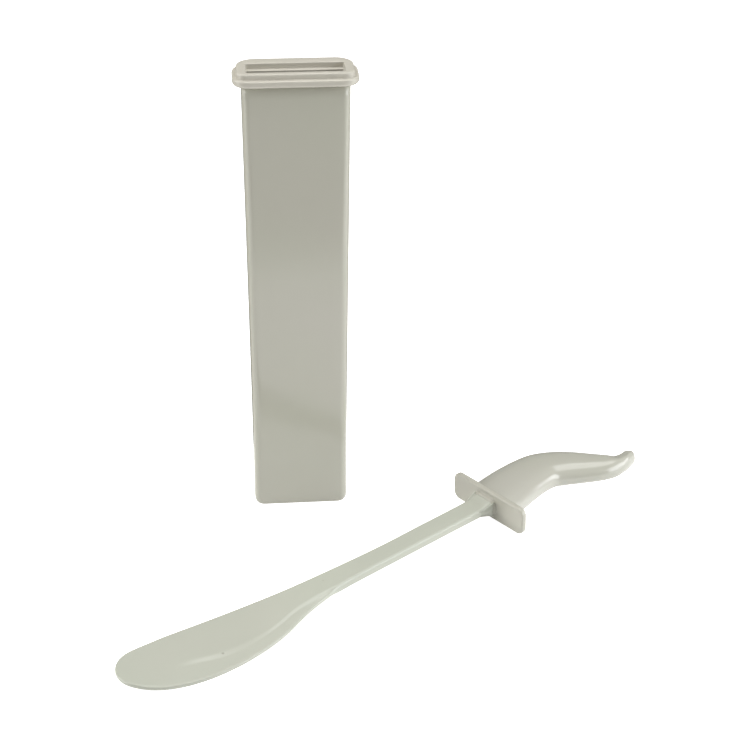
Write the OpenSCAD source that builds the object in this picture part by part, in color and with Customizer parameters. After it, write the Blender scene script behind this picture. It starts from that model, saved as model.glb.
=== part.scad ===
// Bone folder with a standing sheath, for paper crafts.
// The sheath is a tapered flat case with a closed foot and a two-step collar
// round its mouth. The folder has a leaf-shaped blade on a long stem, a cross
// guard and a bent handle. It lies on the table in front of the sheath. When
// it is put away, the blade goes down the case and the guard rests on the
// collar, over its mouth.
// The origin is the centre of the sheath's foot, on the table. +Z is up, X runs
// along the sheath's wide side, and its front faces -Y.

/* [Case of the sheath] */
// Outer width of the case at its foot
foot_w = 29.6; // [29.2:0.1:31.6]
// Outer depth of the case at its foot
foot_d = 13; // [11:0.1:13.4]
// How much the foot flares out at each end
foot_flare = 0.35; // [0:0.05:0.5]
// Rounding of the foot's ends, along the width
foot_round = 1; // [0.2:0.1:2]
// Rounding of the foot's ends, upwards
foot_round_h = 3; // [1:0.2:5]
// Outer width of the case under the collar
mouth_w = 32.2; // [31.7:0.1:34]
// Outer depth of the case under the collar
mouth_d = 13.4; // [12:0.1:15]
// Height of the case up to the collar
case_h = 144.5; // [144:0.1:170]
// Radius of the case's upright edges
case_r = 2.4; // [1.3:0.1:3]
// Thickness of the case's walls
wall_t = 1; // [0.6:0.1:1]
// Thickness of the closed foot
foot_t = 1.6; // [1:0.1:3]

/* [Collar of the sheath] */
// Width of the lower step
flange_w = 37.4; // [36.4:0.2:44]
// Depth of the lower step
flange_d = 17.6; // [17:0.2:22]
// Thickness of the lower step
flange_t = 2.2; // [1.9:0.1:3]
// Corner radius of the lower step
flange_r = 6; // [3:0.5:8]
// Width of the upper step
lip_w = 34.9; // [33:0.1:35.4]
// Depth of the upper step
lip_d = 14.6; // [13:0.1:16]
// Thickness of the upper step
lip_t = 1.7; // [1:0.1:2.4]
// Corner radius of the upper step
lip_r = 4.5; // [2:0.5:6]
// Width of the recess in the mouth
recess_w = 29.2; // [29:0.1:30]
// Depth, front to back, of the recess in the mouth
recess_d = 7.8; // [7.6:0.1:9]
// Height of the recess
recess_t = 1.7; // [1.4:0.1:2.4]
// Width of the throat that the blade passes through
throat_w = 28.8; // [28.4:0.1:28.9]
// Depth, front to back, of the throat
throat_d = 4.6; // [4.4:0.1:6]
// How far the mouth lies in front of the collar's middle
mouth_shift = 1.2; // [0:0.1:1.3]

/* [Blade of the folder] */
// Length from the guard to the blade's tip
blade_l = 140; // [130:0.2:141]
// Radius of the blade's round nose
nose_r = 8.8; // [8:0.1:9]
// Thickness of the stem
stem_t = 3; // [2.4:0.1:4]
// Width of the stem
stem_w = 7.4; // [6.4:0.1:8]
// Thickness of the blade's middle panel
panel_t = 2.4; // [1.8:0.1:2.4]
// Thickness of the blade at its working edge
edge_t = 1.2; // [0.8:0.1:1.6]
// How far the stem's centre line lies off the guard's centre, towards the spine
stem_off = 0.7; // [0:0.1:1]
// Width of the tang inside the guard and the handle
tang_w = 5; // [3:0.5:6]
// Thickness of the tang
tang_t = 2; // [1.2:0.1:2.4]
// Length of the tang behind the guard's front face
tang_l = 12; // [6:1:16]

/* [Guard of the folder] */
// Width of the guard, across the folder
guard_w = 32; // [30.6:0.1:33]
// Height of the guard
guard_h = 9.6; // [9.2:0.1:10]
// Thickness of the guard
guard_t = 2; // [1.5:0.1:2.4]
// Corner radius of the guard
guard_r = 2.6; // [1:0.1:3.4]
// Width of the oval boss round the stem
boss_w = 10.4; // [9:0.2:12]
// Height of the oval boss
boss_h = 6.6; // [5:0.1:6.6]
// How far the boss stands out of the guard
boss_t = 1.2; // [0.6:0.1:2]

/* [Handle of the folder] */
// Thickness of the handle at the guard
handle_t = 8.6; // [7:0.1:9]
// Thickness of the handle at its tail
tail_t = 5.6; // [4:0.1:7]
// How far the round end stands out of the tail
tail_end = 1.8; // [1:0.1:3]
// How far the handle's middle lies below the guard's
handle_drop = 0.4; // [0:0.1:0.5]

/* [Where the folder lies] */
// Distance of the guard to the right of the sheath's centre
lie_x = 60; // [50:0.1:80]
// Distance of the guard in front of the sheath's centre
lie_y = 19; // [18:0.1:40]
// Direction that the handle points in, turned from +X towards +Y
lie_turn = 35.85; // [0:0.05:45]

/* [Hidden] */

ivory = [0.76, 0.75, 0.70];
ivory_dark = [0.70, 0.70, 0.65];
pearl = [0.79, 0.78, 0.75];

fit_gap = 0.05;     // clearance round the tang
cut = 1;            // how far a cutting tool runs past a face
ring_n = 32;        // points round one section of the handle
curve_n = 14;       // steps along one curve of the handle
flare_h = 14;       // height over which the foot's flare dies out

collar_h = flange_t + lip_t;

// The folder's own frame: X runs along the stem towards the handle, from the
// guard's front face. Y points to the spine's side and Z is its thickness.
handle_x = guard_t;
nose_x = nose_r - blade_l;          // centre of the nose's arc
nose_y = 4.6 + stem_off;
stem_half = stem_w / 2;
spine_flat = -28;                   // where the spine starts to widen
belly_flat = -58;                   // where the belly starts to widen
belly_low = [-86, stem_off - 8.8];  // where the belly's two curves meet

function bezier(p, n) = [
    for (i = [0:n]) let (t = i / n, s = 1 - t)
        s*s*s * p[0] + 3 * s*s*t * p[1] + 3 * s*t*t * p[2] + t*t*t * p[3]
];
function arc(centre, r, from, to, n) = [
    for (i = [0:n]) let (a = from + (to - from) * i / n)
        centre + r * [cos(a), sin(a)]
];

spine_curve = concat(
    [[0, stem_off + stem_half]],
    bezier([[spine_flat, stem_off + stem_half],
            [-82, stem_off + 2.6],
            [nose_x + 6.7, nose_y + nose_r + 0.5],
            [nose_x, nose_y + nose_r]], 24),
    arc([nose_x, nose_y], nose_r, 95, 180, 12)
);
nose_low = [nose_x, nose_y] + nose_r * [cos(205), sin(205)];
belly_curve = concat(
    [[0, stem_off - stem_half]],
    bezier([[belly_flat, stem_off - stem_half],
            [-72, stem_off - stem_half],
            belly_low + [1.6, 0.6],
            belly_low], 12),
    bezier([belly_low,
            belly_low - [14.7, 5.9],
            [nose_x - 0.8, stem_off - 16.1],
            nose_low], 24),
    arc([nose_x, nose_y], nose_r, 205, 180, 6)
);

// Cross-sections of the blade stand at these places along X: widely spaced on
// the stem, close on the blade, closest round the nose.
blade_stations = concat(
    [-boss_t, -14, spine_flat, -38, -48, belly_flat],
    [for (x = [-62:-4:nose_x]) x],
    [for (a = [6:6:84]) nose_x - nose_r * sin(a)],
    [nose_x - nose_r * sin(88)]
);

// Where the crease lies between spine and belly, and how thick the panel is
function crease_share(x) = lookup(-x, [
    [0, 0.93], [66, 0.93], [80, 0.72], [100, 0.76], [116, 0.68], [127, 0.46], [blade_l, 0.4]]);
function panel_half(x) = lookup(-x, [
    [0, stem_t / 2], [58, stem_t / 2], [84, panel_t / 2], [118, panel_t / 2],
    [131, edge_t / 2 + 0.1], [blade_l, edge_t / 2 + 0.05]]);
function edge_half(x) = lookup(-x, [
    [0, stem_t / 4], [60, stem_t / 4], [84, edge_t / 2], [blade_l, edge_t / 2]]);

// One section of the blade: eight corners, from the spine over the lower face
function blade_ring(x) =
    let (spine = lookup(x, spine_curve),
         belly = lookup(x, belly_curve),
         span = spine - belly,
         chamfer = min(0.4, span / 8),
         crease = spine - max(span * crease_share(x), chamfer * 2),
         high = panel_half(x),
         low = edge_half(x))
    [[x, spine, -low], [x, spine - chamfer, -high], [x, crease, -high], [x, belly, -low],
     [x, belly, low], [x, crease, high], [x, spine - chamfer, high], [x, spine, low]];

// Outlines of the handle, each of two curves, and its thickness along them
far_side = concat(
    bezier([[handle_x, 9.8], [10, 11.4], [23.7, 12.8], [29.8, 10.6]], curve_n),
    [for (i = [1:curve_n])
        bezier([[29.8, 10.6], [44.6, 5.2], [46.6, -11.4], [55, -9.1]], curve_n)[i]]
);
near_side = concat(
    bezier([[handle_x, -9.5], [6.2, -9.3], [24, -3.7], [27.9, -6]], curve_n),
    [for (i = [1:curve_n])
        bezier([[27.9, -6], [39.9, -12.6], [43.4, -17.6], [55, -14]], curve_n)[i]]
);
handle_steps = 2 * curve_n;
function handle_half(i) = (handle_t + (tail_t - handle_t) * pow(i / handle_steps, 1.5)) / 2;

// A section of the handle is a rounded, slightly square oval
function signed_power(v, p) = sign(v) * pow(abs(v), p);
function oval_ring(centre, half_span, half_t) = [
    for (k = [0:ring_n - 1])
        let (a = 360 * (k + 0.5) / ring_n,
             c = signed_power(cos(a), 0.83),
             s = signed_power(sin(a), 0.83))
        [centre.x + half_span.x * c, centre.y + half_span.y * c, half_t * s]
];
function handle_ring(i) = oval_ring(
    (far_side[i] + near_side[i]) / 2, (far_side[i] - near_side[i]) / 2, handle_half(i));

// The round end: smaller ovals that move out along the tail
tail_far = far_side[handle_steps];
tail_near = near_side[handle_steps];
tail_out = [tail_far.y - tail_near.y, tail_near.x - tail_far.x] / norm(tail_far - tail_near);
tail_rings = [
    for (a = [25:20:85])
        oval_ring((tail_far + tail_near) / 2 + tail_out * tail_end * sin(a),
                  (tail_far - tail_near) / 2 * cos(a),
                  tail_t / 2 * cos(a))
];

// The folder lies on the lower edge of its guard and on the tip of its blade
lie_pitch = asin((guard_h / 2 - panel_half(-blade_l)) / blade_l);

// A closed solid through a list of rings with equal numbers of points, which run
// anticlockwise seen from the last ring
module skin(rings) {
    n = len(rings[0]);
    last = (len(rings) - 1) * n;
    polyhedron(
        points = [for (ring = rings) each ring],
        faces = concat(
            [[for (k = [0:n - 1]) k]],
            [[for (k = [n - 1:-1:0]) last + k]],
            [for (i = [0:len(rings) - 2], k = [0:n - 1])
                let (a = i * n + k, b = i * n + (k + 1) % n)
                each [[a, a + n, b + n], [a, b + n, b]]]
        )
    );
}

// A rectangle with round corners, made of squares and circles
module round_plan(w, d, r) {
    square([w - 2 * r, d], center = true);
    square([w, d - 2 * r], center = true);
    for (x = [-1, 1], y = [-1, 1])
        translate([x * (w / 2 - r), y * (d / 2 - r)]) circle(r, $fn = 48);
}

module round_block(w, d, r, h) {
    linear_extrude(h) round_plan(w, d, r);
}

// A ring of points round a rectangle with round corners, at height z
function plan_ring(w, d, r, z) = [
    for (q = [0:3], a = [0:18:90])
        let (sx = (q == 0 || q == 3) ? 1 : -1, sy = q < 2 ? 1 : -1)
        [sx * (w / 2 - r) + r * cos(q * 90 + a), sy * (d / 2 - r) + r * sin(q * 90 + a), z]
];

// The case's width and depth at height z, and its section there, drawn in by
// inset.x at each end and inset.y at the front and the back
function case_w(z) =
    foot_w + (mouth_w - foot_w) * z / case_h + 2 * foot_flare * exp(-z / flare_h);
function case_d(z) = foot_d + (mouth_d - foot_d) * z / case_h;
function case_ring(z, inset, r) =
    plan_ring(case_w(z) - 2 * inset.x, case_d(z) - 2 * inset.y, r, z);

module in_folder_place() {
    translate([lie_x, -lie_y, 0]) rotate([0, -lie_pitch, lie_turn])
        translate([0, 0, guard_h / 2]) children();
}

module tang_block(gap, from, to) {
    translate([from, stem_off - tang_w / 2 - gap, -tang_t / 2 - gap])
        cube([to - from, tang_w + 2 * gap, tang_t + 2 * gap]);
}

module sheath_case() {
    foot_rings = [for (a = [0:18:90])
        case_ring(foot_round_h * (1 - cos(a)), [foot_round * (1 - sin(a)), 0], case_r)];
    color(ivory_dark) difference() {
        skin(concat(foot_rings, [for (z = [8, 14, 24, 40, case_h]) case_ring(z, [0, 0], case_r)]));
        skin([for (z = [foot_t, 14, 40, case_h + 0.01])
            case_ring(z, [wall_t, wall_t], case_r - wall_t)]);
    }
}

module sheath_collar() {
    color(ivory) translate([0, 0, case_h]) difference() {
        union() {
            round_block(flange_w, flange_d, flange_r, flange_t);
            round_block(lip_w, lip_d, lip_r, collar_h);
        }
        translate([-recess_w / 2, -recess_d / 2 - mouth_shift, collar_h - recess_t])
            cube([recess_w, recess_d, recess_t + cut]);
        translate([-throat_w / 2, -throat_d / 2 - mouth_shift, -cut])
            cube([throat_w, throat_d, collar_h + 2 * cut]);
    }
}

module blade() {
    color(ivory) in_folder_place() {
        skin([for (x = blade_stations) blade_ring(x)]);
        tang_block(0, -stem_w, tang_l);
    }
}

module guard() {
    color(ivory) in_folder_place() difference() {
        union() {
            rotate([90, 0, 90]) round_block(guard_w, guard_h, guard_r, guard_t);
            translate([-boss_t, stem_off, 0]) rotate([90, 0, 90])
                round_block(boss_w, boss_h, boss_h / 2 - 0.1, boss_t + 0.5);
        }
        tang_block(fit_gap, -boss_t - cut, guard_t + cut);
    }
}

module handle() {
    color(pearl) in_folder_place() difference() {
        translate([0, 0, -handle_drop])
            skin(concat([for (i = [0:handle_steps]) handle_ring(i)], tail_rings));
        tang_block(fit_gap, 0, tang_l + 0.5);
    }
}

sheath_case();
sheath_collar();
blade();
guard();
handle();
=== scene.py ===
"""Bone folder with a standing sheath: the looks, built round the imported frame.

Lengths are written in millimetres and turned into metres when a mesh is made.
The sheath stands at the origin with its front to -Y. The folder is shaped in a
frame of its own, as in the CAD: X runs along the stem towards the handle, from
the guard's front face, Y points to the spine's side and Z is its thickness.
"""
import math

import bmesh
import bpy
from mathutils import Matrix, Vector


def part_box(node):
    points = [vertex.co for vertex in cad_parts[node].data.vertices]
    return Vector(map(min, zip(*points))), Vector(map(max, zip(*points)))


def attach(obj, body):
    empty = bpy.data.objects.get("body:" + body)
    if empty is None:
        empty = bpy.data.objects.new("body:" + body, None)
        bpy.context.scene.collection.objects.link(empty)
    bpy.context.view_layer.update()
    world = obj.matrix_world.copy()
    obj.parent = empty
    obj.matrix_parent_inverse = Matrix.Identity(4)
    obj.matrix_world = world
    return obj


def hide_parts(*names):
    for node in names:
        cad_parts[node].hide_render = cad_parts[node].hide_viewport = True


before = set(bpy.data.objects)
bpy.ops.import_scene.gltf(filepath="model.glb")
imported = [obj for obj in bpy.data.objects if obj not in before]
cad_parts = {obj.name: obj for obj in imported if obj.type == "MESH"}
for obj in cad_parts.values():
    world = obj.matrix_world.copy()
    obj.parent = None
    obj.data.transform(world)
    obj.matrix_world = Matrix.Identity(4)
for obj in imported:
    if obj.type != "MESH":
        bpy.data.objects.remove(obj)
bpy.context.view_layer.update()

MM = 0.001

# --- Where the folder lies, as in the CAD -----------------------------------
LIE_X, LIE_Y, LIE_TURN = 60, 19, 35.85
BLADE_L = 140
GUARD_W, GUARD_H, GUARD_T, GUARD_R = 32, 9.6, 2, 2.6
TIP_HALF = 0.65
LIE_PITCH = math.degrees(math.asin((GUARD_H / 2 - TIP_HALF) / BLADE_L))
IN_PLACE = (
    Matrix.Translation((LIE_X, -LIE_Y, 0))
    @ Matrix.Rotation(math.radians(LIE_TURN), 4, "Z")
    @ Matrix.Rotation(math.radians(-LIE_PITCH), 4, "Y")
    @ Matrix.Translation((0, 0, GUARD_H / 2))
)


# --- Small tools --------------------------------------------------------------
def mix(a, b, t):
    return a + (b - a) * t


def smooth(t):
    """0 below 0, 1 above 1 and a soft S between."""
    t = min(max(t, 0.0), 1.0)
    return t * t * (3 - 2 * t)


def ramp(x, start, length):
    """0 at start and 1 a length further on, with a soft S between. With a length
    below 0 it rises the other way, towards smaller x."""
    return smooth((x - start) / length)


def bump(x, middle, width):
    """1 at the middle, falling softly to 0 about a width away."""
    return math.exp(-(((x - middle) / width) ** 2))


def bezier(points, t):
    """A point on a curve of four control points."""
    s = 1 - t
    a, b, c, d = (Vector(p) for p in points)
    return s**3 * a + 3 * s * s * t * b + 3 * s * t * t * c + t**3 * d


def chain(*curves, steps=40):
    """The points of several curves that follow each other."""
    points = [Vector(curves[0][0])]
    for curve in curves:
        points += [bezier(curve, i / steps) for i in range(1, steps + 1)]
    return points


def lookup(points, x):
    """The second coordinate of a chain of points where its first one is x."""
    points = sorted(points, key=lambda p: p[0])
    if x <= points[0][0]:
        return points[0][1]
    for p, q in zip(points, points[1:]):
        if p[0] <= x <= q[0]:
            return mix(p[1], q[1], (x - p[0]) / max(q[0] - p[0], 1e-9))
    return points[-1][1]


def quarter_steps(count):
    """Pairs (sine, cosine) along a quarter of a circle."""
    angles = [math.pi / 2 * i / count for i in range(count + 1)]
    return [(math.sin(a), math.cos(a)) for a in angles]


def skin(name, rings, loop=False):
    """A closed smooth mesh through rings of points in millimetres. With loop, the
    last ring joins the first; without it, both ends are closed."""
    mesh = bmesh.new()
    rows = [[mesh.verts.new(p) for p in ring] for ring in rings]
    n = len(rows[0])
    pairs = list(zip(rows, rows[1:])) + ([(rows[-1], rows[0])] if loop else [])
    for low, high in pairs:
        for k in range(n):
            m = (k + 1) % n
            mesh.faces.new((low[k], low[m], high[m], high[k]))
    if not loop:
        mesh.faces.new(list(reversed(rows[0])))
        mesh.faces.new(rows[-1])
    bmesh.ops.recalc_face_normals(mesh, faces=mesh.faces)
    for face in mesh.faces:
        face.smooth = True
    bmesh.ops.scale(mesh, vec=(MM, MM, MM), verts=mesh.verts)
    data = bpy.data.meshes.new(name)
    mesh.to_mesh(data)
    mesh.free()
    piece = bpy.data.objects.new(name, data)
    bpy.context.scene.collection.objects.link(piece)
    return piece


def laid(rings):
    """Rings from the folder's own frame, moved to where the folder lies."""
    return [[IN_PLACE @ Vector(p) for p in ring] for ring in rings]


def plan_ring(width, depth, radius, z, shift=(0, 0), front=None, corner_steps=8):
    """Points round a rectangle with round corners at height z; front is the radius
    of the two corners at -Y, if it differs. Each straight side has points close to
    its ends, which keep its shading flat."""
    along = (0.03, 0.12, 0.3, 0.5, 0.7, 0.88, 0.97)
    signs = ((1, 1), (-1, 1), (-1, -1), (1, -1))
    corners = []
    for quarter, (sx, sy) in enumerate(signs):
        r = radius if sy > 0 or front is None else front
        centre = Vector((sx * (width / 2 - r) + shift[0],
                         sy * (depth / 2 - r) + shift[1], z))
        angles = [math.radians(90 * (quarter + i / corner_steps))
                  for i in range(corner_steps + 1)]
        corners.append([centre + r * Vector((math.cos(a), math.sin(a), 0)) for a in angles])
    ring = []
    for corner, following in zip(corners, corners[1:] + corners[:1]):
        ring += corner
        ring += [corner[-1].lerp(following[0], t) for t in along]
    return ring


# --- Materials ------------------------------------------------------------------
def add(tree, kind, inputs=(), **settings):
    """A new shader node with its inputs and settings filled in."""
    node = tree.nodes.new(kind)
    for key, value in settings.items():
        setattr(node, key, value)
    for key, value in dict(inputs).items():
        node.inputs[key].default_value = value
    return node


def plastic(name, pale, green, warm, roughness=0.22, speck=0.0, seed=0.0, ior=1.49):
    """Moulded ivory plastic: a slow drift between three close tints, faint flow
    marks in the gloss, a fine ripple and grain, and a few dark specks if speck,
    their strength, isn't 0. seed moves the pattern, so no two pieces share it."""
    material = bpy.data.materials.new(name)
    material.use_nodes = True
    tree = material.node_tree
    shader = tree.nodes["Principled BSDF"]
    link = tree.links.new
    place = add(tree, "ShaderNodeTexCoord")
    shift = add(tree, "ShaderNodeMapping", {"Location": (seed, seed * 0.7, -seed)})
    link(place.outputs["Object"], shift.inputs["Vector"])

    def noise(scale, detail=2.0):
        texture = add(tree, "ShaderNodeTexNoise", {"Scale": scale, "Detail": detail})
        link(shift.outputs["Vector"], texture.inputs["Vector"])
        return texture

    drift = noise(24.0, 1.0)
    tints = add(tree, "ShaderNodeValToRGB")
    tints.color_ramp.interpolation = "B_SPLINE"
    tints.color_ramp.elements[0].position = 0.25
    tints.color_ramp.elements[0].color = (*green, 1)
    tints.color_ramp.elements[1].position = 0.75
    tints.color_ramp.elements[1].color = (*warm, 1)
    tints.color_ramp.elements.new(0.5).color = (*pale, 1)
    link(drift.outputs["Fac"], tints.inputs["Fac"])
    colour = tints.outputs["Color"]
    if speck:
        grains = add(tree, "ShaderNodeTexVoronoi", {"Scale": 90.0})
        link(shift.outputs["Vector"], grains.inputs["Vector"])
        spots = add(tree, "ShaderNodeMapRange",
                    {"From Min": 0.02, "From Max": 0.05, "To Min": speck, "To Max": 0.0})
        link(grains.outputs["Distance"], spots.inputs["Value"])
        darken = add(tree, "ShaderNodeMix", data_type="RGBA")
        # the sockets of a colour mix: its factor, and the colours at 0 and at 1
        factor, clean, dark = (darken.inputs[i] for i in (0, 6, 7))
        dark.default_value = (0.20, 0.17, 0.12, 1)
        link(spots.outputs["Result"], factor)
        link(colour, clean)
        colour = darken.outputs[2]
    link(colour, shader.inputs["Base Color"])

    flow = noise(40.0, 1.0)
    gloss = add(tree, "ShaderNodeMapRange",
                {"From Min": 0.3, "From Max": 0.7,
                 "To Min": roughness - 0.03, "To Max": roughness + 0.04})
    link(flow.outputs["Fac"], gloss.inputs["Value"])
    link(gloss.outputs["Result"], shader.inputs["Roughness"])

    ripple = add(tree, "ShaderNodeBump", {"Strength": 0.15, "Distance": 0.00006})
    link(noise(160.0, 1.0).outputs["Fac"], ripple.inputs["Height"])
    grain = add(tree, "ShaderNodeBump", {"Strength": 0.1, "Distance": 0.00001})
    link(noise(2600.0).outputs["Fac"], grain.inputs["Height"])
    link(ripple.outputs["Normal"], grain.inputs["Normal"])
    link(grain.outputs["Normal"], shader.inputs["Normal"])
    shader.inputs["IOR"].default_value = ior
    return material


def finish_piece(piece, material, body, node):
    """Gives a piece its material and its place in the frame."""
    piece.data.materials.append(material)
    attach(piece, body)
    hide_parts(node)


# --- Sheath ---------------------------------------------------------------------
CASE_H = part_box("sheath_case")[1].z / MM
MOUTH_W, MOUTH_D = 32.2, 13.4
FOOT_W, FOOT_D = 29.6, 13.0
FOOT_FLARE, FLARE_H = 0.35, 14      # how far the foot flares, and how soon that dies out
FOOT_ROUND = (1.0, 0.3, 3.0)        # how far the foot's edge rounds off along X, Y and Z
CASE_R = 2.4                        # radius of the upright corners
WALL_T, FLOOR_T = 1.0, 1.6
POCKET_ROUND = (0.4, 1.2)           # how far the pocket's bottom edge rounds off, across and up


def case_size(z):
    """Outer width and depth of the case at height z."""
    flare = 2 * FOOT_FLARE * math.exp(-z / FLARE_H)
    return mix(FOOT_W, MOUTH_W, z / CASE_H) + flare, mix(FOOT_D, MOUTH_D, z / CASE_H)


def make_case():
    """Up the outside from the foot to the mouth, and down the pocket to its floor."""
    rings = []
    for s, c in quarter_steps(10):
        z = FOOT_ROUND[2] * (1 - c)
        width, depth = case_size(z)
        rings.append(plan_ring(width - 2 * FOOT_ROUND[0] * (1 - s),
                               depth - 2 * FOOT_ROUND[1] * (1 - s), CASE_R, z))
    # close together near the foot, where the sides curve outwards
    heights = [mix(FOOT_ROUND[2], CASE_H, t)
               for t in (0.02, 0.05, 0.1, 0.16, 0.25, 0.4, 0.6, 0.8, 0.97, 1)]
    for z in heights:
        width, depth = case_size(z)
        rings.append(plan_ring(width, depth, CASE_R, z))
    inner_r = CASE_R - WALL_T
    for z in [*reversed(heights[2:]), FLOOR_T + POCKET_ROUND[1], FLOOR_T]:
        width, depth = case_size(z)
        pull = WALL_T if z > FLOOR_T else WALL_T + POCKET_ROUND[0]
        rings.append(plan_ring(width - 2 * pull, depth - 2 * pull, inner_r, z))
    return skin("case", rings)


COLLAR_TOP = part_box("sheath_collar")[1].z / MM
FLANGE_W, FLANGE_D, FLANGE_T = 37.4, 17.6, 2.2
LIP_W, LIP_D = 34.9, 14.6
FLANGE_R, LIP_R = (7.0, 5.0), (5.4, 3.2)     # corner radii at the back and at the front
RECESS_W, RECESS_D, RECESS_T = 29.2, 7.8, 1.7
THROAT_W, THROAT_D = 28.8, 4.6
MOUTH = (0, -1.2)                   # the mouth lies a little in front of the middle


def make_collar():
    """Round the section: out under the lower step, up over both steps, and down
    through the recess and the throat."""
    low, step, top = CASE_H, CASE_H + FLANGE_T, COLLAR_TOP
    ledge = top - RECESS_T
    rings = [plan_ring(THROAT_W, THROAT_D, 0.2, low, MOUTH),
             plan_ring(THROAT_W + 0.3, THROAT_D + 0.3, 0.3, low, MOUTH)]

    def outer(size, inset, z):
        width, depth, back, front = size
        rings.append(plan_ring(width - 2 * inset, depth - 2 * inset, back - inset, z,
                               front=front - inset))

    def inner(size, outset, z):
        width, depth, radius = size
        rings.append(plan_ring(width + 2 * outset, depth + 2 * outset, radius + outset, z, MOUTH))

    flange, lip = (FLANGE_W, FLANGE_D, *FLANGE_R), (LIP_W, LIP_D, *LIP_R)
    recess, throat = (RECESS_W, RECESS_D, 0.5), (THROAT_W, THROAT_D, 0.3)
    under, over = 0.9, 0.55         # rounding under and over the lower step
    for s, c in quarter_steps(6):
        outer(flange, under * (1 - s), low + under * (1 - c))
    for s, c in quarter_steps(6):
        outer(flange, over * (1 - c), step - over + over * s)
    fillet = 0.3                    # hollow where the upper step rises
    for s, c in quarter_steps(4):
        outer(lip, -fillet * (1 - s), step + fillet * (1 - c))
    edge = 0.55                     # rounding of the upper step's outer edge
    for s, c in quarter_steps(6):
        outer(lip, edge * (1 - c), top - edge + edge * s)
    mouth_edge = 0.3                # rounding of the mouth's edge
    for s, c in quarter_steps(5):
        inner(recess, mouth_edge * (1 - s), top - mouth_edge * (1 - c))
    # down the recess, in over its ledge and down the throat, with small rounds
    inner(recess, 0, ledge + 0.2)
    inner(recess, -0.05, ledge + 0.05)
    inner(recess, -0.15, ledge)
    inner(throat, 0.2, ledge)
    inner(throat, 0.05, ledge - 0.05)
    inner(throat, 0, ledge - 0.2)
    return skin("collar", rings, loop=True)


# --- Folder ---------------------------------------------------------------------
STEM_OFF = 0.7                      # the stem's centre line, off the guard's centre
STEM_W, STEM_HALF_T = 7.4, 1.5
NOSE_R = 8.8
NOSE_X, NOSE_Y = NOSE_R - BLADE_L, 4.6 + STEM_OFF
PANEL_HALF_T, EDGE_HALF_T = 1.2, 0.6
SHELF_RISE = 0.36                   # how much thicker the shelf is at the crease than at the belly
EDGE_R = 0.8                        # rounding of the edges
CREASE_REACH = 1.6                  # the mesh is close this far on both sides of the crease
FLARE_X = -7                        # from here to the guard the stem swells into the boss
FLARE_L, FLARE_HALF_W, FLARE_HALF_T = 5.5, 0.7, 1.2


def nose_arc(start, stop, steps=24):
    """Points on the nose's arc between two angles in degrees."""
    angles = [math.radians(mix(start, stop, i / steps)) for i in range(steps + 1)]
    return [Vector((NOSE_X + NOSE_R * math.cos(a), NOSE_Y + NOSE_R * math.sin(a))) for a in angles]


SPINE = [Vector((20, STEM_OFF + STEM_W / 2))] + chain(
    [(-28, STEM_OFF + STEM_W / 2), (-82, STEM_OFF + 2.6),
     (NOSE_X + 6.7, NOSE_Y + NOSE_R + 0.5), (NOSE_X, NOSE_Y + NOSE_R)]
) + nose_arc(95, 180)
BELLY_LOW = Vector((-86, STEM_OFF - 8.8))
BELLY = [Vector((20, STEM_OFF - STEM_W / 2))] + chain(
    [(-58, STEM_OFF - STEM_W / 2), (-72, STEM_OFF - STEM_W / 2),
     BELLY_LOW + Vector((1.6, 0.6)), BELLY_LOW],
    [BELLY_LOW, BELLY_LOW - Vector((14.7, 5.9)),
     (NOSE_X - 0.8, STEM_OFF - 16.1), nose_arc(205, 205)[0]],
) + nose_arc(205, 180)
# The edge of the raised panel: it leaves the stem's near side, follows the belly
# and turns back across the blade before the nose.
CREASE = chain(
    [(-54, -4.6), (-68, -2.4), (-79, -1.9), (-87, -4.4)],
    [(-87, -4.4), (-96, -7.2), (-107, -8.0), (-116, -4.3)],
    [(-116, -4.3), (-121, -2.1), (-126, -0.6), (-130.5, 1.2)],
)
OUTLINE = SPINE + list(reversed(BELLY))


def edge_distance(p):
    """How far a plan point lies inside the blade's outline."""
    best = 1e9
    for a, b in zip(OUTLINE, OUTLINE[1:]):
        along = b - a
        t = min(max((p - a).dot(along) / max(along.length_squared, 1e-12), 0), 1)
        best = min(best, (p - a - along * t).length)
    return best


def blade_half(p, belly, crease):
    """Half of the blade's thickness at a plan point. The stem thins into a raised
    panel, which fades out before the nose. Beyond the crease a shelf slopes down
    to the belly."""
    x, y = p
    panel = mix(STEM_HALF_T, PANEL_HALF_T, ramp(x, -58, -26))
    panel = mix(panel, EDGE_HALF_T + 0.1, ramp(x, -118, -13))
    band = mix(1.5, 2.8, ramp(x, -90, -24))     # width of the crease's slope
    across = smooth((crease - y) / band + 0.5)
    shelf = mix(EDGE_HALF_T + SHELF_RISE, EDGE_HALF_T,
                (crease - y) / max(crease - belly, 0.5))
    half = mix(panel, min(shelf, panel), across)
    half += FLARE_HALF_T * ramp(x, FLARE_X, -FLARE_X) ** 3
    rounding = min(EDGE_R, half * 0.85)
    inside = edge_distance(p)
    if inside < rounding:
        half -= rounding - math.sqrt(rounding**2 - (rounding - inside) ** 2)
    return half


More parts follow.
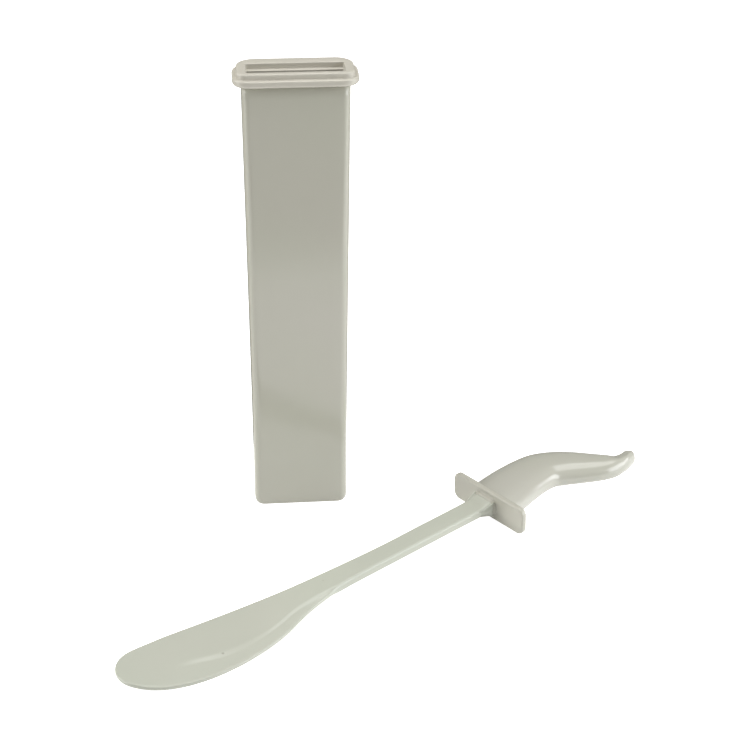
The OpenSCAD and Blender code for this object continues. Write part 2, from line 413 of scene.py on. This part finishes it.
def blade_row(x):
    """Plan points across the blade at x, from the belly to the spine: close at
    both edges and over the crease."""
    spine, belly, crease = lookup(SPINE, x), lookup(BELLY, x), lookup(CREASE, x)
    flare = FLARE_HALF_W * ramp(x, FLARE_X, FLARE_L)
    spine, belly = spine + flare, belly - flare
    span = spine - belly
    rim = min(EDGE_R, span / 4)
    gap = span * 0.05               # keeps the crease's points off the edges' points
    low = min(max(crease - CREASE_REACH, belly + rim + gap), spine - rim - gap)
    high = min(max(crease + CREASE_REACH, belly + rim + gap), spine - rim - gap)
    if high - low < 0.3:            # no crease here, so the points spread out evenly
        low, high = belly + span * 0.35, belly + span * 0.65
    stops = ([belly + rim * (1 - c) for _, c in quarter_steps(6)]
             + [mix(belly + rim, low, i / 6) for i in range(1, 6)]
             + [mix(low, high, i / 12) for i in range(13)]
             + [mix(high, spine - rim, i / 9) for i in range(1, 9)]
             + [spine - rim * (1 - s) for s, _ in quarter_steps(6)])
    return [(Vector((x, y)), belly, crease) for y in stops]


def make_blade():
    """Sections from the nose to the boss. They are close at the flare, along the
    blade and round the nose, and wider apart along the plain stem."""
    xs = [-0.6 - i for i in range(8)] + [-9 - 3 * i for i in range(16)]
    xs += [-57 - i for i in range(int(-57 - NOSE_X))]
    xs += [NOSE_X - NOSE_R * math.sin(math.radians(a)) for a in range(2, 90, 3)]
    rings = []
    for x in reversed(xs):
        row = blade_row(x)
        heights = [blade_half(*station) for station in row]
        upper = [(x, p.y, h) for (p, *_), h in zip(row, heights)]
        lower = [(x, p.y, -h) for (p, *_), h in zip(row, heights)]
        rings.append(list(reversed(lower)) + upper)
    return skin("blade", laid(rings))


BOSS_W, BOSS_H, BOSS_T = 10.4, 6.0, 1.2
DISH = 0.06                         # how far the front face lies below its rim


def make_guard():
    """From the middle of the back, out round the plate's edge, and in over the
    front face to the top of the boss."""
    rings = []

    def ring(width, height, radius, x, shift=0.0):
        flat = plan_ring(width, height, radius, 0, (shift, 0))
        rings.append([(x, p.x, p.y) for p in flat])

    ring(4, 3, 1.0, GUARD_T)        # a small ring that closes the back
    edge = 0.6                      # rounding of the plate's edges
    for s, c in quarter_steps(6):
        inset = edge * (1 - s)
        ring(GUARD_W - 2 * inset, GUARD_H - 2 * inset, GUARD_R - inset, GUARD_T - edge * (1 - c))
    for s, c in quarter_steps(6):
        inset = edge * (1 - c)
        ring(GUARD_W - 2 * inset, GUARD_H - 2 * inset, GUARD_R - inset, edge * (1 - s))
    for rim, dip in ((0.7, 0.0), (0.8, DISH / 3), (0.9, DISH * 5 / 6), (1.0, DISH)):
        ring(GUARD_W - 2 * rim, GUARD_H - 2 * rim, GUARD_R - rim * 0.7, dip)
    blend, rise = 0.7, 0.5          # hollow where the boss rises, and how far it rises there
    for s, c in quarter_steps(5):
        outset = blend * (1 - s)
        size = BOSS_W + 2 * outset, BOSS_H + 2 * outset
        ring(*size, size[1] / 2 - 0.1, DISH - rise * (1 - c), STEM_OFF)
    top = 0.7                       # rounding of the boss's edge
    for s, c in quarter_steps(6):
        inset = top * (1 - c)
        size = BOSS_W - 2 * inset, BOSS_H - 2 * inset
        ring(*size, size[1] / 2 - 0.1, -BOSS_T + top * (1 - s), STEM_OFF)
    ring(4, 2, 0.9, -BOSS_T, STEM_OFF)      # and one that closes the boss
    return skin("guard", laid(rings))


HANDLE_X, HANDLE_DROP = GUARD_T, 0.4
HANDLE_HALF_T, TAIL_HALF_T, TAIL_END = 4.3, 2.8, 1.8
NEAR_POWER, FAR_POWER = (0.7, 0.6), (0.85, 0.7)     # squareness of each side, front and tail
LEAN, DROP, TAIL_DROP, TAIL_LIFT = 0.28, 0.1, 0.35, 0.5     # see handle_ring
GROOVE_T, GROOVE_AT, GROOVE_W = 0.22, 0.9, 0.018    # shallow groove before the tail's end
FAR_SIDE = (
    [(HANDLE_X, 9.8), (10, 11.4), (23.7, 12.8), (29.8, 10.6)],
    [(29.8, 10.6), (44.6, 5.2), (46.6, -11.4), (55, -9.1)],
)
NEAR_SIDE = (
    [(HANDLE_X, -9.5), (6.2, -9.3), (24, -3.7), (27.9, -6)],
    [(27.9, -6), (39.9, -12.6), (43.4, -17.6), (55, -14)],
)


def handle_ring(centre, half_span, half_t, near, far, drop, lean, lift=0.0, count=64):
    """A section of the handle. near and far square off its two sides: 1 is an
    ellipse, and less gives a flatter top with a sharper shoulder. drop lowers the
    top towards the far side, lean draws the near shoulder in, and lift raises it all."""
    ring = []
    for k in range(count):
        angle = 2 * math.pi * (k + 0.5) / count
        c, s = math.cos(angle), math.sin(angle)
        power = far if c > 0 else near
        across = math.copysign(abs(c) ** power, c)
        up = math.copysign(abs(s) ** power, s)
        if up > 0:
            across *= 1 - lean * up * (across < 0)
            up *= 1 - drop * smooth((across + 1) / 2)
        ring.append((*(centre + half_span * across), half_t * up - HANDLE_DROP + lift))
    return ring


def make_handle():
    """Sections from the guard to the tail, then a round end. t is how far along
    the handle a section is, from 0 to 1."""
    steps = 36
    far, near = chain(*FAR_SIDE, steps=steps), chain(*NEAR_SIDE, steps=steps)
    last = 2 * steps
    rings = []
    for i in range(last + 1):
        t = i / last
        half = mix(HANDLE_HALF_T, TAIL_HALF_T, t**1.5) - GROOVE_T * bump(t, GROOVE_AT, GROOVE_W)
        near_power = mix(*NEAR_POWER, ramp(t, 0.25, 0.35))
        far_power = mix(*FAR_POWER, ramp(t, 0.3, 0.4))
        drop = DROP * ramp(t, 0.1, 0.3) + TAIL_DROP * ramp(t, 0.82, 0.1)
        lean = LEAN * ramp(t, 0.3, 0.3)
        lift = TAIL_LIFT * ramp(t, 0.8, 0.2)
        rings.append(handle_ring((far[i] + near[i]) / 2, (far[i] - near[i]) / 2, half,
                                 near_power, far_power, drop, lean, lift))
    span = far[last] - near[last]
    middle = (far[last] + near[last]) / 2
    out = Vector((span.y, -span.x)).normalized()
    for a in range(8, 88, 8):
        s, c = math.sin(math.radians(a)), math.cos(math.radians(a))
        rings.append(handle_ring(middle + out * TAIL_END * s, span / 2 * c, TAIL_HALF_T * c,
                                 mix(NEAR_POWER[1], 1, s), mix(FAR_POWER[1], 1, s),
                                 (DROP + TAIL_DROP) * c, LEAN * c, TAIL_LIFT))
    return skin("handle", laid(rings))


# --- Studio -----------------------------------------------------------------------
def make_floor(size=6.0):
    """A sheet of white paper under the pair."""
    bpy.ops.mesh.primitive_plane_add(size=size, location=(0, 0, -0.00005))
    floor = bpy.context.object
    floor.name = "floor"
    material = bpy.data.materials.new("paper")
    material.use_nodes = True
    tree = material.node_tree
    shader = tree.nodes["Principled BSDF"]
    shader.inputs["Base Color"].default_value = (0.8, 0.8, 0.8, 1)
    shader.inputs["Roughness"].default_value = 0.9
    shader.inputs["Specular IOR Level"].default_value = 0.1
    # overexposed paper: it glows to the camera and a little less in mirror images,
    # but throws much less light on the pair
    shader.inputs["Emission Color"].default_value = (1, 1, 1, 1)
    path = add(tree, "ShaderNodeLightPath")
    mirrored = add(tree, "ShaderNodeMapRange", {"To Min": 0.15, "To Max": 0.8})
    seen = add(tree, "ShaderNodeMapRange", {"To Min": 0.0, "To Max": 0.94})
    glow = add(tree, "ShaderNodeMath", operation="MAXIMUM")
    tree.links.new(path.outputs["Is Glossy Ray"], mirrored.inputs["Value"])
    tree.links.new(path.outputs["Is Camera Ray"], seen.inputs["Value"])
    tree.links.new(mirrored.outputs["Result"], glow.inputs[0])
    tree.links.new(seen.outputs["Result"], glow.inputs[1])
    tree.links.new(glow.outputs["Value"], shader.inputs["Emission Strength"])
    floor.data.materials.append(material)


def make_flags(width=3.0, reach=1.3):
    """Two dark cards lying on the floor, one before the pair and one behind it. Only
    reflections show them. The case's front mirrors bright paper low down and the
    front card higher up, and the back card keeps outlines from burning out."""
    material = bpy.data.materials.new("black_card")
    material.use_nodes = True
    shader = material.node_tree.nodes["Principled BSDF"]
    shader.inputs["Base Color"].default_value = (0.02, 0.02, 0.02, 1)
    shader.inputs["Roughness"].default_value = 0.9
    front_edge, back_edge = -0.193, 0.03
    for name, middle in (("front_card", front_edge - reach / 2),
                         ("back_card", back_edge + reach / 2)):
        bpy.ops.mesh.primitive_plane_add(size=1, location=(0, middle, 0.0002))
        card = bpy.context.object
        card.name = name
        card.scale = (width, reach, 1)
        card.data.materials.append(material)
        card.visible_camera = card.visible_diffuse = card.visible_shadow = False


def softbox(name, place, target, size, power, colour=(1, 1, 1)):
    """A large square light at place that shines on target."""
    light = bpy.data.lights.new(name, "AREA")
    light.shape = "RECTANGLE"
    light.size, light.size_y = size
    light.energy = power
    light.color = colour
    holder = bpy.data.objects.new(name, light)
    bpy.context.scene.collection.objects.link(holder)
    holder.location = place
    holder.rotation_euler = (Vector(target) - Vector(place)).to_track_quat("-Z", "Y").to_euler()
    holder.visible_camera = False


def make_light():
    """Three softboxes, over the pair and to both sides, and a faint sky."""
    world = bpy.data.worlds.new("studio")
    bpy.context.scene.world = world
    world.use_nodes = True
    sky = world.node_tree.nodes["Background"]
    sky.inputs["Color"].default_value = (1, 1, 1, 1)
    # the sky gives next to no light, but behind the floor the camera sees white
    path = add(world.node_tree, "ShaderNodeLightPath")
    glow = add(world.node_tree, "ShaderNodeMapRange", {"To Min": 0.02, "To Max": 1.0})
    world.node_tree.links.new(path.outputs["Is Camera Ray"], glow.inputs["Value"])
    world.node_tree.links.new(glow.outputs["Result"], sky.inputs["Strength"])
    middle = (0.03, 0.0, 0.02)
    softbox("overhead", (0.0, 0.1, 0.75), middle, (0.9, 0.7), 5.3)
    softbox("right", (0.93, -0.38, 0.34), middle, (0.9, 0.6), 9.4,
            colour=(0.96, 0.97, 1.0))
    softbox("left", (-0.95, -0.05, 0.4), middle, (0.9, 0.7), 7.2)


def make_camera():
    """The camera looks down on the pair from the front, a little from the left."""
    aim = Vector((32.12, 78.55, 0)) * MM
    distance, azimuth, elevation, roll = 0.692, 5.483, 28.87, 0.593
    a, e = math.radians(azimuth), math.radians(elevation)
    back = Vector((-math.sin(a) * math.cos(e), -math.cos(a) * math.cos(e), math.sin(e)))
    data = bpy.data.cameras.new("camera")
    data.lens, data.sensor_width = 89.63, 36
    data.clip_start, data.clip_end = 0.01, 20
    camera = bpy.data.objects.new("camera", data)
    bpy.context.scene.collection.objects.link(camera)
    camera.location = aim + back * distance
    camera.rotation_mode = "QUATERNION"
    turn = (-back).to_track_quat("-Z", "Y").to_matrix()
    camera.rotation_quaternion = (
        turn @ Matrix.Rotation(math.radians(roll), 3, "Z")
    ).to_quaternion()
    bpy.context.scene.camera = camera


# --- Build ------------------------------------------------------------------------
CASE = dict(pale=(0.50, 0.492, 0.412), green=(0.495, 0.495, 0.407), warm=(0.505, 0.492, 0.42))
CREAM = dict(pale=(0.57, 0.545, 0.465), green=(0.56, 0.545, 0.46), warm=(0.58, 0.545, 0.475))
IVORY = dict(pale=(0.53, 0.545, 0.46), green=(0.525, 0.545, 0.455), warm=(0.54, 0.545, 0.465))
STONE = dict(pale=(0.52, 0.51, 0.43), green=(0.515, 0.515, 0.425), warm=(0.525, 0.51, 0.435))
PEARL = dict(pale=(0.515, 0.51, 0.435), green=(0.51, 0.51, 0.43), warm=(0.52, 0.51, 0.445))

finish_piece(make_case(), plastic("case_plastic", **CASE, roughness=0.13, seed=0.3),
             "sheath", "sheath_case")
finish_piece(make_collar(), plastic("collar_plastic", **CREAM, seed=1.7),
             "sheath", "sheath_collar")
finish_piece(make_blade(), plastic("blade_plastic", **IVORY, speck=0.45, seed=2.9),
             "folder", "blade")
finish_piece(make_guard(), plastic("guard_plastic", **STONE, seed=4.1),
             "folder", "guard")
finish_piece(make_handle(), plastic("handle_plastic", **PEARL, roughness=0.15, seed=5.3, ior=1.6),
             "folder", "handle")

make_floor()
make_flags()
make_light()
make_camera()
bpy.context.scene.view_settings.view_transform = "Standard"
